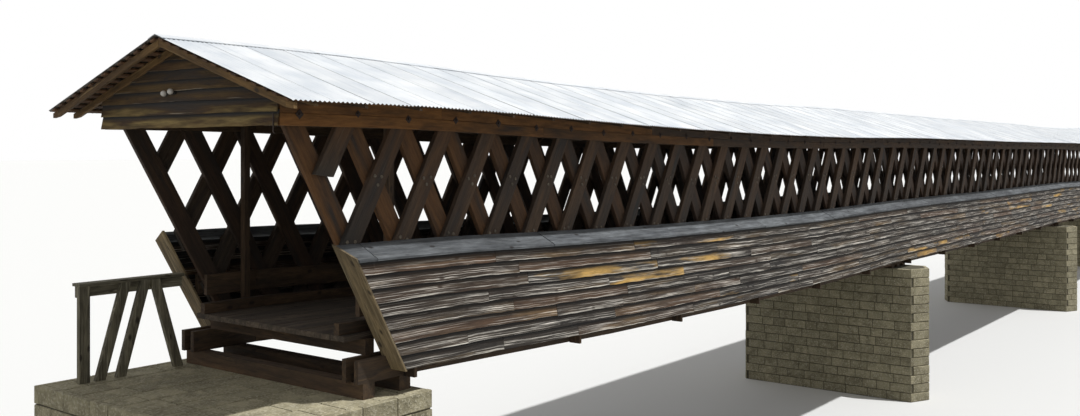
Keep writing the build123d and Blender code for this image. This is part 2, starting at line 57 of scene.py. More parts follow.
# Half of what a plank covers along the bridge, in stations.
PLANK_HALF = PLANK_WIDE / 2 * hypot(PANEL / 2, ROW) / ROW / PANEL
RIDGE_UP = 0.5
RIDGE = ROW_0 + RIDGE_UP
ROOF_PITCH = 1 / 3
ROOF_HALF = 1.32
GABLE_OUT = 0.124

# Over so many stations from each portal the timber is painted warmer, for the reflected light there.
WARM_STATIONS = 9
# A row of boards is full when no more than this is left.
SLIVER = 0.01
# Boards, and sheets, take their grain from places up to so many metres to either side.
BOARD_APART = 40
SHEET_APART = 20

# How far the bridge has sunk, as (station, metres) at the frame's bends in its first half.
SUNK = (
    (2.25, 0.0), (7.25, 0.068), (12.25, 0.106), (17.25, 0.118),
    (21.75, 0.095), (24.25, 0.095), (33.25, 0.105),
)
# A bend is eased over so many stations to each side, in so many steps.
EASE = 1.5
EASE_STEPS = 4


def x_at(station):
    """the place of a crossing of the lattice along the bridge"""
    return (station - LAST / 2) * PANEL


SUNK_LINE = [(x_at(s), -d) for s, d in SUNK] + [(x_at(LAST - s), -d) for s, d in reversed(SUNK)]


def straight_fall(x):
    """the frame's own fall there, which bends between straight timbers"""
    for (low, low_fall), (high, high_fall) in zip(SUNK_LINE, SUNK_LINE[1:]):
        if low <= x <= high:
            return low_fall + (high_fall - low_fall) * (x - low) / (high - low)
    return 0.0


def fall(x):
    """how far the bridge has sunk there, as a negative height, with the bends eased"""
    steps = range(-EASE_STEPS, EASE_STEPS + 1)
    return sum(straight_fall(x + EASE * PANEL * step / EASE_STEPS) for step in steps) / len(steps)


def roof(y, down=0.0):
    """the height of the roof's slope, or that far below it, at that distance from the middle line"""
    return RIDGE - abs(y) * ROOF_PITCH - down


def lengthwise(x, end, low, high, gap):
    """the outline of a board along the bridge, from x to end, whose long edges lie at those (y, z)"""
    return ((x + gap, *low), (end - gap, *low), (end - gap, *high), (x + gap, *high))


# An uneven edge has half of its unevenness in one slow wave, of so many radians along the board.
EDGE_WAVE = 9
# A pin's rings, as shares of its length and its radius: the last one is its worn rim.
PIN = ((0.0, 1.0), (0.8, 1.0), (1.0, 0.7))
PIN_APART = 10
# The tint of a thing that has no others beside it.
PLAIN = 0.5


class Pile:
    """boards, sheets or stones gathered into one piece, each with its own grain and tint"""

    def __init__(self, seed):
        self.dice = random.Random(seed)
        self.points = []
        self.faces = []
        self.grain = []
        self.tint = []
        self.new_wood_and_reflected_light = []
        self.across = []

    def corner(self, place, grain, tint, new_wood_and_reflected_light=0.0, across=0.0):
        """one corner of the mesh, with what its finish has to know"""
        self.points.append(Vector(place))
        self.grain.append(grain)
        self.tint.append(tint)
        self.new_wood_and_reflected_light.append(new_wood_and_reflected_light)
        self.across.append(across)

    def ring_faces(self, start, rings, count):
        """skins so many rings of count corners each, from that corner on, and closes both ends"""
        for ring in range(rings - 1):
            for i in range(count):
                a = start + ring * count + i
                b = start + ring * count + (i + 1) % count
                self.faces.append((a, b, b + count, a + count))
        self.faces.append(tuple(range(start, start + count))[::-1])
        last = start + (rings - 1) * count
        self.faces.append(tuple(range(last, last + count)))

    def board(
        self, outline, thick, steps=1, worn=0.002, wander=0.0, ragged=0.0, new_wood_and_reflected_light=0.0, new_wood_and_light_at_end=None
    ):
        """a board between two long edges, outline[0] to [1] and outline[3] to [2], that is thick deep

        Its corners are worn off by that much, it bows by up to wander, its first long edge is uneven by
        ragged, and fresh says how much newer wood it shows at its start, new_wood_and_light_at_end at its
        end; near the portals it also stands for painted reflected light.
        """
        new_wood_and_light_at_end = new_wood_and_reflected_light if new_wood_and_light_at_end is None else new_wood_and_light_at_end
        low_start, low_end, high_end, high_start = (Vector(p) for p in outline)
        thick = Vector(thick)
        depth = thick.normalized()
        shift = [self.dice.uniform(-BOARD_APART, BOARD_APART) for _ in range(3)]
        tint = self.dice.random()
        phase = self.dice.uniform(0, 2 * pi)
        bow = self.dice.uniform(-wander, wander)
        length = (low_end - low_start).length
        start = len(self.points)
        for step in range(steps + 1):
            part = step / steps
            low = low_start.lerp(low_end, part)
            high = high_start.lerp(high_end, part)
            across = (high - low).normalized()
            wide = (high - low).length
            rag = self.dice.uniform(-ragged, ragged) + 0.5 * ragged * sin(EDGE_WAVE * part + phase)
            low = low + across * rag + depth * bow * sin(pi * part + phase)
            high = high + depth * bow * sin(pi * part + phase)
            for p, v, w in (
                (low + across * worn, worn, 0),
                (high - across * worn, wide - worn, 0),
                (high + depth * worn, wide, worn),
                (high + thick - depth * worn, wide, thick.length - worn),
                (high + thick - across * worn, wide - worn, thick.length),
                (low + thick + across * worn, worn, thick.length),
                (low + thick - depth * worn, 0, thick.length - worn),
                (low + depth * worn, 0, worn),
            ):
                grain = (part * length + shift[0], v + shift[1], w + shift[2])
                self.corner(p, grain, tint, new_wood_and_reflected_light + (new_wood_and_light_at_end - new_wood_and_reflected_light) * part, v / wide)
        self.ring_faces(start, steps + 1, 8)

    def peg(self, centre, axis, radius, sides, turned=None):
        """the end of a round pin, or a plate with that many sides, that stands a little proud"""
        axis = Vector(axis)
        side = axis.orthogonal().normalized()
        other = axis.cross(side).normalized()
        tint = self.dice.random()
        start = len(self.points)
        turn = self.dice.uniform(0, pi) if turned is None else turned
        for out, share in PIN:
            wide = share * radius
            for i in range(sides):
                angle = turn + 2 * pi * i / sides
                arm = side * cos(angle) * wide + other * sin(angle) * wide
                grain = (PIN_APART * tint, arm.dot(side), arm.dot(other))
                self.corner(Vector(centre) + axis * out + arm, grain, tint)
        self.ring_faces(start, len(PIN), sides)

    def piece(self, name, material, node, instead=True, sagging=True, smooth=False):
        """the finished object, which rides on the bridge and stands for that node, or is fixed to it"""
        mesh = bpy.data.meshes.new(name)
        points = [(p[0], p[1], p[2] + (fall(p[0]) if sagging else 0.0)) for p in self.points]
        mesh.from_pydata(points, [], self.faces)
        mesh.attributes.new("grain", "FLOAT_VECTOR", "POINT").data.foreach_set(
            "vector", [value for triple in self.grain for value in triple]
        )
        for kind, values in (("tint", self.tint), ("new_wood_and_reflected_light", self.new_wood_and_reflected_light), ("across", self.across)):
            mesh.attributes.new(kind, "FLOAT", "POINT").data.foreach_set("value", values)
        shell = bmesh.new()
        shell.from_mesh(mesh)
        bmesh.ops.recalc_face_normals(shell, faces=shell.faces)
        shell.to_mesh(mesh)
        shell.free()
        mesh.materials.append(material)
        if smooth:
            mesh.shade_smooth()
        made = bpy.data.objects.new(name, mesh)
        scene.collection.objects.link(made)
        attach(made, "root")
        if instead:
            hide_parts(node)
        return made


# Colour and material helpers.
def linear(code):
    """an sRGB hex colour as linear red, green, blue and alpha"""
    values = [int(code[i : i + 2], 16) / 255 for i in (1, 3, 5)]
    return (*(v / 12.92 if v <= 0.04045 else ((v + 0.055) / 1.055) ** 2.4 for v in values), 1.0)


def add(tree, kind, links=None, **settings):
    """adds a shader node; links gives its inputs, each a value or another node's output"""
    made = tree.nodes.new("ShaderNode" + kind)
    for name, value in settings.items():
        setattr(made, name, value)
    for name, value in (links or {}).items():
        if isinstance(value, bpy.types.NodeSocket):
            tree.links.new(value, made.inputs[name])
        else:
            made.inputs[name].default_value = value
    return made


def blank(name, **surface):
    """a new material with its tree and its surface shader"""
    material = bpy.data.materials.new(name)
    material.use_nodes = True
    shader = material.node_tree.nodes["Principled BSDF"]
    for key, value in surface.items():
        shader.inputs[key.replace("_", " ").title()].default_value = value
    return material, material.node_tree, shader


# In a MapRange, input 0 is the value, 1 and 2 are the range that it comes from, and 3 and 4 the range
# that it goes to. In a Mix of these settings, input 0 is the share of the second colour, 6 and 7 are the
# colours, and output 2 is the mixed one.
COLOURS = {"data_type": "RGBA", "clamp_result": True}


def in_cells(tree, place, size):
    """a place counted in cells that are that many millimetres long, wide and deep"""
    cells_a_metre = [1000 / length for length in size]
    return add(tree, "VectorMath", {0: place, 1: cells_a_metre}, operation="MULTIPLY").outputs["Vector"]


def pattern(tree, place, size, detail=3.0, rough=0.55):
    """noise whose spots are that many millimetres long, wide and deep"""
    links = {"Vector": in_cells(tree, place, size), "Scale": 1.0, "Detail": detail, "Roughness": rough}
    return add(tree, "TexNoise", links).outputs["Fac"]


# Sizes of a board's patterns, in millimetres along, across and through it: stains of a board's width,
# blotches of a hand's, the room that each knot has, the streaks that the weather bares between the rings,
# and fibres. Real fibres are finer: these are as coarse as they need to show.
STAINS = (909.09, 111.11, 111.11)
BLOTCHES = (250.0, 41.667, 41.667)
KNOTS = (200.0, 111.11, 111.11)
STREAKS = (384.62, 12.5, 12.5)
SIDING_STREAKS = (625.0, 7.6923, 7.6923)
FIBRES = (111.11, 4.7619, 4.7619)


def spot_on(tree, run=None):
    """where a spot is along, across and through its board, sheet or stone, and the tint of that one

    run is the way that the grain lies in the frame's own timbers, which have no grain of their own.
    """
    if run is None:
        place = add(tree, "Attribute", attribute_name="grain").outputs["Vector"]
        return place, add(tree, "Attribute", attribute_name="tint").outputs["Fac"]
    where = add(tree, "TexCoord").outputs["Object"]
    tint = add(tree, "NewGeometry").outputs["Random Per Island"]
    parts = add(tree, "SeparateXYZ", {0: where})
    order = {"X": "XYZ", "Y": "YXZ", "Z": "ZXY"}[run]
    turned = add(tree, "CombineXYZ", {i: parts.outputs[axis] for i, axis in enumerate(order)}).outputs[0]
    apart = add(tree, "VectorMath", {0: tint, 1: (37.0, 53.0, 71.0)}, operation="MULTIPLY").outputs["Vector"]
    return add(tree, "VectorMath", {0: turned, 1: apart}, operation="ADD").outputs["Vector"], tint


def shade_laps(tree, colour, tint, blotches, silver, lapped):
    """a lapped board's colour: some are browner, and each has painted shade with a rain stain up to its lap,
    a near-black painted shadow line just under it, and a painted highlight along its foot
    """
    across = add(tree, "Attribute", attribute_name="across").outputs["Fac"]
    uneven = add(tree, "Math", {0: blotches, 1: 0.4, 2: across}, operation="MULTIPLY_ADD").outputs[0]
    browner = add(tree, "MapRange", {0: tint, 1: 0.55, 2: 1.0, 4: 0.5}).outputs[0]
    # Painted shade of the board above, with the rain stain that it leaves, up to each lap.
    lap_shade_and_stain = add(tree, "MapRange", {0: uneven, 1: 0.66, 2: 0.90, 4: 0.92}).outputs[0]
    # A near-black painted shadow line just under the foot of the board above.
    painted_lap_shadow = add(tree, "MapRange", {0: across, 1: 0.69, 2: 0.78, 4: 0.93}).outputs[0]
    # A painted highlight of sun along each board's foot, where it is silver.
    at_foot = add(tree, "MapRange", {0: across, 1: 0.16, 2: 0.04}).outputs[0]
    painted_foot_highlight = add(tree, "Math", {0: at_foot, 1: silver}, operation="MULTIPLY").outputs[0]
    layers = ((browner, "#6A4E38"), (lap_shade_and_stain, lapped), (painted_lap_shadow, "#060403"), (painted_foot_highlight, "#FBF5E8"))
    for amount, code in layers:
        colour = add(tree, "Mix", {0: amount, 6: colour, 7: linear(code)}, **COLOURS).outputs[2]
    return colour


def sawn_timber(
    name, dark, body, pale, run=None, new_wood_and_reflected_light=None, patches=(0.30, 0.55), relief=0.5, bare=0.5,
    lapped=None, streak=STREAKS, blur=0.23
):
    """rough sawn softwood left to the weather: dark where it holds dirt, pale where it dried to silver

    run is the way that a frame timber's grain lies. fresh is the colour of newer wood, which near the
    portals stands for painted reflected light, and patches says where in the stains it starts and is full.
    relief is how rough the face is, bare how much of it is silver, streak the size of the silver's streaks,
    and blur how softly they end.
    lapped is the colour of the strip under each lap: painted shade of the board above, with the rain stain
    it leaves.
    """
    material, tree, surface = blank(name, roughness=0.86)
    place, tint = spot_on(tree, run)
    stains = pattern(tree, place, STAINS, 4.0)
    blotches = pattern(tree, place, BLOTCHES, 5.0, 0.7)
    streaks = pattern(tree, place, streak)
    fibres = pattern(tree, place, FIBRES, 2.0)

    # Dirty and clean wood, and over them the streaks of silver.
    clean = add(tree, "MapRange", {0: stains, 1: 0.35, 2: 0.62}).outputs[0]
    first = 0.72 - 0.3 * bare
    silver = add(tree, "MapRange", {0: streaks, 1: first, 2: first + blur}).outputs[0]
    colour = add(tree, "Mix", {0: clean, 6: linear(dark), 7: linear(body)}, **COLOURS).outputs[2]
    colour = add(tree, "Mix", {0: silver, 6: colour, 7: linear(pale)}, **COLOURS).outputs[2]

    # Knots up to 50 mm long and half as wide, a few to a board.
    links = {"Vector": in_cells(tree, place, KNOTS), "Scale": 1.0}
    away = add(tree, "TexVoronoi", links).outputs["Distance"]
    knots = add(tree, "MapRange", {0: away, 1: 0.17, 2: 0.08, 4: 0.85}).outputs[0]
    colour = add(tree, "Mix", {0: knots, 6: colour, 7: linear("#1C120A")}, **COLOURS).outputs[2]

    # Fine dark checks along the grain.
    checks = add(tree, "MapRange", {0: fibres, 1: 0.30, 2: 0.46, 3: 0.35}).outputs[0]
    shade = add(tree, "CombineColor", {0: checks, 1: checks, 2: checks}).outputs[0]
    links = {0: 0.8, 6: colour, 7: shade}
    colour = add(tree, "Mix", links, blend_type="MULTIPLY", **COLOURS).outputs[2]

    if new_wood_and_reflected_light:
        # The share of newer wood, which near the portals stands for painted reflected light.
        share_of_new_wood_and_light = add(tree, "Attribute", attribute_name="new_wood_and_reflected_light").outputs["Fac"]
        patchy = add(tree, "MapRange", {0: stains, 1: patches[0], 2: patches[1]}).outputs[0]
        amount = add(tree, "Math", {0: share_of_new_wood_and_light, 1: patchy}, operation="MULTIPLY").outputs[0]
        colour = add(tree, "Mix", {0: amount, 6: colour, 7: linear(new_wood_and_reflected_light)}, **COLOURS).outputs[2]
    if lapped:
        colour = shade_laps(tree, colour, tint, blotches, silver, lapped)

    # Each board has a tone of its own and is mottled within it.
    whole = add(tree, "MapRange", {0: tint, 3: 0.78, 4: 1.18}).outputs[0]
    mottled = add(tree, "MapRange", {0: blotches, 1: 0.34, 2: 0.66, 3: 0.5, 4: 1.3}).outputs[0]
    value = add(tree, "Math", {0: whole, 1: mottled}, operation="MULTIPLY").outputs[0]
    colour = add(tree, "HueSaturation", {"Value": value, "Color": colour}).outputs["Color"]
    tree.links.new(colour, surface.inputs["Base Color"])
    height = add(tree, "Math", {0: streaks, 1: fibres}, operation="ADD").outputs[0]
    bump = add(tree, "Bump", {"Strength": relief, "Distance": 0.006, "Height": height})
    tree.links.new(bump.outputs["Normal"], surface.inputs["Normal"])
    return material


# Finishes.
# Sun-bleached sawn softwood in the open: silver streaks over brown, dark checks along the grain, under each
# lap painted shade with a rain stain and a near-black painted shadow line, and a painted highlight along
# each foot.
old_siding = sawn_timber(
    "weathered sawn siding", "#1F1A16", "#4F463C", "#FFF8EC", new_wood_and_reflected_light="#E4B86C", patches=(0.52, 0.64),
    bare=0.68, lapped="#1E150E", streak=SIDING_STREAKS, blur=0.15
)
# Boards that take all the rain: blue-grey and worn smooth between the checks.
cap_timber = sawn_timber("rain washed sawn board", "#4C4F53", "#787C7F", "#A3A6A7")
# Truss planks under the roof: dark grey-brown, rough from the saw, hardly any silver; near the portals, on
# the near side, painted warmer for the reflected light there.
truss_outer = sawn_timber(
    "rough sawn truss plank", "#211D19", "#403930", "#746A5C", new_wood_and_reflected_light="#674628", bare=0.35
)
# The layer behind them: the same planks, browner because less rain reaches them; near the portals, on the
# near side, painted warmer for the reflected light there.
truss_inner = sawn_timber(
    "sheltered truss plank", "#251C14", "#443122", "#6A523B", new_wood_and_reflected_light="#6E4C2C", bare=0.3
)
# The heavy boards along the top: they kept their orange-brown heart colour, and near the portals they are
# painted warmer for the reflected light there.
HEARTWOOD = ("#2E2115", "#4E3A27", "#70583F")
chord_timber = sawn_timber("heartwood chord board", *HEARTWOOD, new_wood_and_reflected_light="#98693A", bare=0.25)
eave_timber = sawn_timber("heartwood eave plate", *HEARTWOOD, run="X", bare=0.25)
# Gable boards: brown, with painted shade and a rain stain under each lap, a near-black painted shadow line
# there and a painted highlight along each foot, and straw-coloured where the rain reaches the lowest two.
gable_timber = sawn_timber(
    "brown gable board", "#241809", "#5E4422", "#7E6234", new_wood_and_reflected_light="#B8A068", patches=(0.48, 0.60),
    bare=0.4, lapped="#1A1108"
)
# Pale trim: thin boards that dried out to straw colour.
pale_trim = sawn_timber("dry pale board", "#7A6A50", "#B09B76", "#DACBA8")
# Gable rafters: dry and brown, paler than the boards behind them.
rafter_timber = sawn_timber("dry brown rafter", "#5E4629", "#937347", "#C2A578", bare=0.45)
# Railing timber: green-grey from standing in the open, for each way that its grain lies.
RAIL_TIMBER = {
    run: sawn_timber(f"grey post and rail timber {run}", "#5A5546", "#8A8470", "#C4BEA8", run=run, bare=0.6)
    for run in "XZ"
}
# Floor planks: grey-brown and worn, with no pale streaks.
floor_timber = sawn_timber("worn floor plank", "#4A4036", "#6B5E50", "#8C7F70")
# Oak pegs: small pale dots on the planks.
peg_timber = sawn_timber("oak peg end", "#5A5248", "#857A6B", "#A89D8C", relief=0.2)
# Wrought iron with a skin of rust, nearly black.
old_iron, _, _ = blank("rusted wrought iron", base_color=linear("#2E211A"), roughness=0.75, metallic=0.3)
# Frame timber under the roof and the floor: plain brown, for each way that its grain lies.
FRAME_TIMBER = {
    run: sawn_timber(f"sheltered frame timber {run}", "#3C2F22", "#5E4A36", "#7E664B", run=run, bare=0.3)
    for run in "XYZ"
}
# Roof boards: dry and red-brown, a row of warm dashes along the gable's edge.
roof_board_timber = sawn_timber("dry roof board", "#4E3726", "#7A5A3E", "#9A7450", bare=0.3)
# The lamp: white glass, bright against the brown gable, on sockets that hardly show.
opal, _, _ = blank("opal glass", base_color=linear("#F6F1EA"), roughness=0.25)
enamel, _, _ = blank("black enamel", base_color=linear("#22211F"), roughness=0.45)


# Sizes of the roof's and the stone's patterns, in millimetres. Pits are coarser than real ones, to show.
RUNS = (38.462, 769.23, 1000.0)
CLOUDS = (384.62, 384.62, 1000.0)
STONE_STAINS = (142.86, 142.86, 142.86)
PITS = (18.182, 18.182, 18.182)


def galvanised():
    """rolled galvanised steel gone dull: white in the sun, grey runs down the slope, rust at some laps"""
    material, tree, surface = blank("dull galvanised sheet", metallic=0.12, roughness=0.45)
    place, tint = spot_on(tree)
    runs = pattern(tree, place, RUNS, 4.0)
    clouds = pattern(tree, place, CLOUDS, 5.0)
    bright = add(tree, "MapRange", {0: clouds, 1: 0.35, 2: 0.65}).outputs[0]
    streaked = add(tree, "MapRange", {0: runs, 1: 0.52, 2: 0.78, 4: 0.4}).outputs[0]
    colour = add(tree, "Mix", {0: bright, 6: linear("#DDE3E9"), 7: linear("#F8FAFB")}, **COLOURS).outputs[2]
    colour = add(tree, "Mix", {0: streaked, 6: colour, 7: linear("#B4BDC7")}, **COLOURS).outputs[2]
    worn_run = add(tree, "MapRange", {0: runs, 1: 0.62, 2: 0.75}).outputs[0]
    worn_spot = add(tree, "MapRange", {0: clouds, 1: 0.58, 2: 0.70}).outputs[0]
    rust = add(tree, "Math", {0: worn_run, 1: worn_spot}, operation="MULTIPLY").outputs[0]
    colour = add(tree, "Mix", {0: rust, 6: colour, 7: linear("#8A5A3A")}, **COLOURS).outputs[2]
    value = add(tree, "MapRange", {0: tint, 3: 0.94, 4: 1.03}).outputs[0]
    colour = add(tree, "HueSaturation", {"Value": value, "Color": colour}).outputs["Color"]
    # The underside, where the third grain value is one, is dark brown-grey.
    underside = add(tree, "SeparateXYZ", {0: place}).outputs["Z"]
    colour = add(tree, "Mix", {0: underside, 6: colour, 7: linear("#4A4238")}, **COLOURS).outputs[2]
    tree.links.new(colour, surface.inputs["Base Color"])
    dull = add(tree, "MapRange", {0: clouds, 1: 0.3, 2: 0.7, 3: 0.34, 4: 0.55}).outputs[0]
    tree.links.new(dull, surface.inputs["Roughness"])
    return material


def quarried(name, dark, body, pale):
    """split-faced limestone or its mortar: cream with green-grey stains and a pitted face"""
    material, tree, surface = blank(name, roughness=0.92)
    place, tint = spot_on(tree)
    stains = pattern(tree, place, STONE_STAINS, 6.0, 0.65)
    pits = pattern(tree, place, PITS, 4.0, 0.6)
    clean = add(tree, "MapRange", {0: stains, 1: 0.38, 2: 0.60}).outputs[0]
    broken = add(tree, "MapRange", {0: pits, 1: 0.50, 2: 0.72}).outputs[0]
    colour = add(tree, "Mix", {0: clean, 6: linear(dark), 7: linear(body)}, **COLOURS).outputs[2]
    colour = add(tree, "Mix", {0: broken, 6: colour, 7: linear(pale)}, **COLOURS).outputs[2]
    value = add(tree, "MapRange", {0: tint, 3: 0.86, 4: 1.10}).outputs[0]
    colour = add(tree, "HueSaturation", {"Value": value, "Color": colour}).outputs["Color"]
    tree.links.new(colour, surface.inputs["Base Color"])
    height = add(tree, "Math", {0: stains, 1: pits}, operation="ADD").outputs[0]
    bump = add(tree, "Bump", {"Strength": 0.8, "Distance": 0.012, "Height": height})
    tree.links.new(bump.outputs["Normal"], surface.inputs["Normal"])
    return material


zinc = galvanised()
# Pier stone: warm cream with green-grey stains. The mortar lies back in dark joints.
pier_stone = quarried("split limestone", "#968E74", "#BDB495", "#DFD8BF")
mortar = quarried("lime mortar", "#4E4A3E", "#67624F", "#7F7A66")


# Roof: corrugated sheets down each slope, and folded sheets over the ridge.
WAVE = 0.034
WAVE_DEEP = 0.0085
WAVES_SHOWN = 9
STEPS_A_WAVE = 6
ROOF_END = 15.873
SHEET = 0.0012
# Down the slope a sheet bends at its middle, and its foot is a little uneven.
SHEET_HEAD = 0.004
SHEET_MIDDLE = 0.6
SHEET_UNEVEN = 0.007
# Its foot droops by up to this much, and its last wave lies lower, under the next sheet.
SHEET_DROOP = 0.002
SHEET_UNDER = 0.0018
CREASE = radians(45)


def roofing(side):
    """the sheets of one slope, each over the last wave of the one before"""
    sheets = Pile(11 + side)
    count = ceil(2 * ROOF_END / (WAVES_SHOWN * WAVE))
    for sheet in range(count):
        start = -ROOF_END + sheet * WAVES_SHOWN * WAVE
        end = min(start + (WAVES_SHOWN + 1) * WAVE, ROOF_END)
        steps = max(2, round((end - start) / WAVE * STEPS_A_WAVE))
        foot = ROOF_HALF - sheets.dice.uniform(0, SHEET_UNEVEN)
        droop = sheets.dice.uniform(0, SHEET_DROOP)
        tint = sheets.dice.random()
        shift = sheets.dice.uniform(-SHEET_APART, SHEET_APART)
        downs = (SHEET_HEAD, SHEET_MIDDLE, foot)
        ring = len(sheets.points)
        for step in range(steps + 1):
            part = step / steps
            x = start + (end - start) * part
            wave = 0.5 * WAVE_DEEP * (cos(2 * pi * (x + ROOF_END) / WAVE) - 1)
            for down, low in [(down, 0) for down in downs] + [(down, 1) for down in reversed(downs)]:
                bend = droop * (down / ROOF_HALF) ** 2 + SHEET_UNDER * part + SHEET * low
                place = (x, side * down, roof(down) + wave - bend)
                sheets.corner(place, (x + shift, down + shift, low), tint)
        sheets.ring_faces(ring, steps + 1, 2 * len(downs))
    return sheets


for side, name in ((-1, "near_roofing"), (1, "far_roofing")):
    made = roofing(side).piece(name, zinc, "roof_sheets", smooth=True)
    made.data.set_sharp_from_angle(angle=CREASE)

RIDGE_SHEET = 1.22
RIDGE_LAP = 0.04
RIDGE_TILT = 0.0015
RIDGE_STEPS = 6
# The flashing's section, as (y, z): up and over its outer face, then back along its inner one.
FLASHING = (
    (-0.075, 4.101), (-0.075, 4.105), (-0.008, 4.1275), (0.0, 4.130), (0.008, 4.1275), (0.075, 4.105),
    (0.075, 4.101), (0.0733, 4.1042), (0.0, 4.1285), (-0.0733, 4.1042),
)
ridge = Pile(21)
for sheet in range(ceil(2 * ROOF_END / RIDGE_SHEET)):
    start = -ROOF_END + sheet * RIDGE_SHEET
    end = min(start + RIDGE_SHEET + RIDGE_LAP, ROOF_END)
    tint = ridge.dice.random()
    shift = ridge.dice.uniform(-SHEET_APART, SHEET_APART)
    ring = len(ridge.points)
    for step in range(RIDGE_STEPS + 1):
        part = step / RIDGE_STEPS
        x = start + (end - start) * part
        for y, z in FLASHING:
            ridge.corner((x, y, z - RIDGE_TILT * part), (x + shift, y, 0), tint)
    ridge.ring_faces(ring, RIDGE_STEPS + 1, len(FLASHING))
ridge.piece("ridge_flashing", zinc, "ridge_cap")


# Roof boards: spaced boards along the bridge under the sheets, butted, with their ends at the gables uneven.
BOARD_ROWS = 14
BOARD_WIDE = 0.050
BOARD_DEEP = 0.012
BOARD_FIRST = 0.02
BOARD_LAST = 1.235
BOARD_NARROWER = 0.008
BOARD_SHORT = (0.001, 0.012)
BOARD_RUNS = (1.37, 1.83, 2.28)
BOARD_STEP = 0.45
# Boards end to end stay this far from where they would meet.
BUTT = 0.001
UNDER_SHEETS = 0.0125
roof_boards = Pile(25)
for side in (-1, 1):
    for row in range(BOARD_ROWS):
        inner = BOARD_FIRST + row * (BOARD_LAST - BOARD_FIRST) / (BOARD_ROWS - 1)
        outer = inner + BOARD_WIDE - roof_boards.dice.uniform(0, BOARD_NARROWER)
        x = -ROOF_END + roof_boards.dice.uniform(*BOARD_SHORT)
        stop = ROOF_END - roof_boards.dice.uniform(*BOARD_SHORT)
        low = (side * outer, roof(outer, UNDER_SHEETS))
        high = (side * inner, roof(inner, UNDER_SHEETS))
        while x < stop - SLIVER:
            end = min(x + roof_boards.dice.choice(BOARD_RUNS), stop)
            steps = max(1, round((end - x) / BOARD_STEP))
            outline = lengthwise(x, end, low, high, BUTT)
            roof_boards.board(outline, (0, 0, -BOARD_DEEP), steps, worn=0.0015)
            x = end
roof_boards.piece("spaced_roof_boards", roof_board_timber, "roof_nailers")


# Gable rafters: one pair near the roof's edge and one on the gable, whose near tails are tapered.
RAFTER_X = (-15.846, -15.699, 15.674, 15.821)
GABLE_PAIR_WITHIN = 15.8
RAFTER_UNDER = 0.023
RAFTER_DEEP = 0.047
RAFTER_THICK = 0.025
RAFTER_HEAD = 0.0015
TAIL_DEEP = 0.016
TAIL_FROM = 0.975
FOOT_DEEP = 0.034
FOOT_FROM = 1.24
RAFTER_TIP = 1.305
rafters = Pile(29)
for x in RAFTER_X:
    for side in (-1, 1):
        tapered = abs(x) < GABLE_PAIR_WITHIN and side < 0
        bend, tip_deep = (TAIL_FROM, TAIL_DEEP) if tapered else (FOOT_FROM, FOOT_DEEP)
        for y0, y1, deep in ((RAFTER_HEAD, bend, RAFTER_DEEP), (bend, RAFTER_TIP, tip_deep)):
            outline = (
                (x, side * y0, roof(y0, RAFTER_UNDER + RAFTER_DEEP)),
                (x, side * y1, roof(y1, RAFTER_UNDER + deep)),
                (x, side * y1, roof(y1, RAFTER_UNDER)),
                (x, side * y0, roof(y0, RAFTER_UNDER)),
            )
            rafters.board(outline, (RAFTER_THICK, 0, 0), 4)
rafters.piece("gable_rafter_boards", rafter_timber, "gable_rafters")


# Lamp globes: a pair of balls on each gable, open where each sits on its neck.
GLOBE = 0.0195
GLOBE_X = 15.7085
GLOBE_SPOTS = ((0.087, 3.782), (0.163, 3.772))
GLOBE_RINGS = 9
GLOBE_SIDES = 16
# A globe starts at its neck and sweeps round to its far side, both in half turns.
GLOBE_NECK = 0.15
GLOBE_SWEEP = 0.83
globes = Pile(35)
for end in (-1, 1):
    for y, z in GLOBE_SPOTS:
        start = len(globes.points)
        for ring in range(GLOBE_RINGS):
            angle = pi * (GLOBE_NECK + GLOBE_SWEEP * ring / (GLOBE_RINGS - 1))
            x = end * (GLOBE_X - GLOBE * cos(angle))
            wide = GLOBE * sin(angle)
            for i in range(GLOBE_SIDES):
                turn = 2 * pi * i / GLOBE_SIDES
                globes.corner((x, y + wide * cos(turn), z + wide * sin(turn)), (x, y, z), PLAIN)
        globes.ring_faces(start, GLOBE_RINGS, GLOBE_SIDES)


# Gables: lapped boards that narrow with the roof, the two lowest paler.
GABLE_FOOT = 3.55
GABLE_EAVE = 3.784
GABLE_TOP = 4.102
GABLE_LAP = 0.012
GABLE_THICK = 0.009
# How far a board's foot and head stand out, and half the width of the last one's head.
GABLE_FOOT_OUT = 0.028
GABLE_HEAD_OUT = 0.009
GABLE_PEAK_HALF = 0.004
GABLE_FACE = x_at(0) - GABLE_OUT
GABLE_ROWS = (0.083, 0.083, 0.072, 0.068, 0.066, 0.064, 0.062, 0.054)
GABLE_FRESH = (0.9, 0.7, 0.12, 0.12, 0.12, 0.12, 0.12, 0.12)


def gable_half(z):
    """half the width of the gable at that height"""
    return TRUSS_OUT * min(1.0, (GABLE_TOP - z) / (GABLE_TOP - GABLE_EAVE))


gable = Pile(31)
for end in (1, -1):
    z = GABLE_FOOT
    foot, head = end * (GABLE_FACE - GABLE_FOOT_OUT), end * (GABLE_FACE - GABLE_HEAD_OUT)
    for deep, new_wood_and_reflected_light in zip(GABLE_ROWS, GABLE_FRESH):
        top = min(z + deep + GABLE_LAP, GABLE_TOP)
        low, high = gable_half(z), max(gable_half(top), GABLE_PEAK_HALF)
        outline = ((foot, -low, z), (foot, low, z), (head, high, top), (head, -high, top))
        gable.board(outline, (end * GABLE_THICK, 0, 0), 12, worn=0.0015, ragged=0.0025, new_wood_and_reflected_light=new_wood_and_reflected_light)
        z += deep
gable.piece("gable_boards", gable_timber, "gable_walls")

